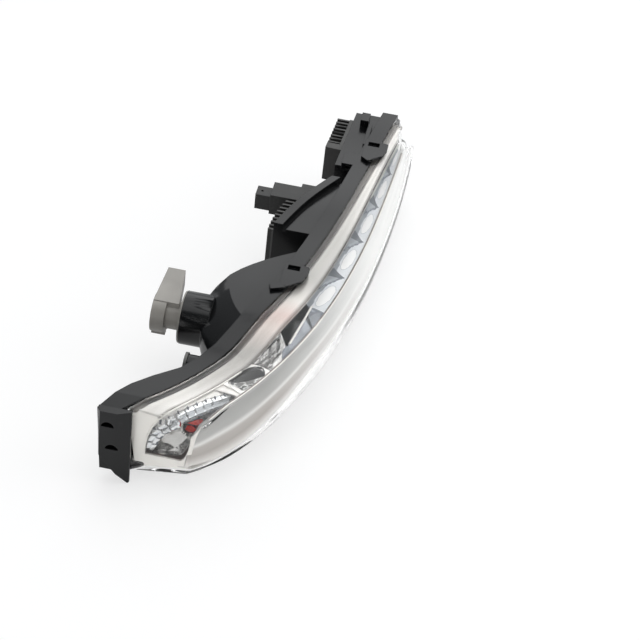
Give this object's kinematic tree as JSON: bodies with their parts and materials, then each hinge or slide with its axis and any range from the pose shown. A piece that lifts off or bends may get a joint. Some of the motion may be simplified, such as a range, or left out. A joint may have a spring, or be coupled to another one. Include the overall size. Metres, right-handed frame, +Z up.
{
  "type": "vehicle indicator lamp",
  "caption": "Swept front corner indicator lamp with a clear lens, a daylight strip of reflector bowls, a bulb holder on a rear bulge, finned heat sinks and clip tabs on a black housing.",
  "frame": {"origin": "on the axis of the indicator socket, at the rear face of its neck", "axes": "+X along the lamp to its inner end, the end with the locating pin; -Y forward, out of the lens; +Z up"},
  "size_m": [0.367, 0.1465, 0.0734],
  "materials": {
    "black_plastic": "moulded black, satin to glossy",
    "clear_plastic": "clear, polished",
    "rubber": "matt",
    "pale_plastic": "pale satin",
    "metallised": "bright metallised plastic",
    "guide_plastic": "clear, ribbed",
    "board": "pale solder mask",
    "led": "pale yellow resin",
    "sink": "dull black",
    "steel": "plated",
    "connector_plastic": "dull black",
    "brass": "bright",
    "grey_plastic": "warm light grey, matt",
    "orange_rubber": "matt",
    "amber_glass": "amber coated",
    "red_glass": "orange-red coated",
    "dark_grey_plastic": "matt"
  },
  "bodies": {
    "root": {"housing": "black_plastic", "lens": "clear_plastic", "seal_bead": "rubber", "upper_bezel": "pale_plastic", "lower_bezel": "pale_plastic", "daylight_reflector": "metallised", "indicator_reflector": "metallised", "marker_reflector": "metallised", "light_guide": "guide_plastic", "middle_led_board": "board", "inner_led_board": "board", "middle_leds": "led", "inner_leds": "led", "middle_heat_sink": "sink", "inner_heat_sink": "sink", "heat_sink_screws": "steel", "led_connector": "connector_plastic", "connector_pins": "brass", "indicator_bulb_holder": "grey_plastic", "holder_seal": "rubber", "indicator_bulb": "amber_glass", "holder_terminals": "brass", "marker_bulb_holder": "grey_plastic", "marker_seal": "orange_rubber", "marker_bulb": "red_glass", "vent_plug": "dark_grey_plastic", "fixing_inserts": "brass"}
  },
  "joints": []
}
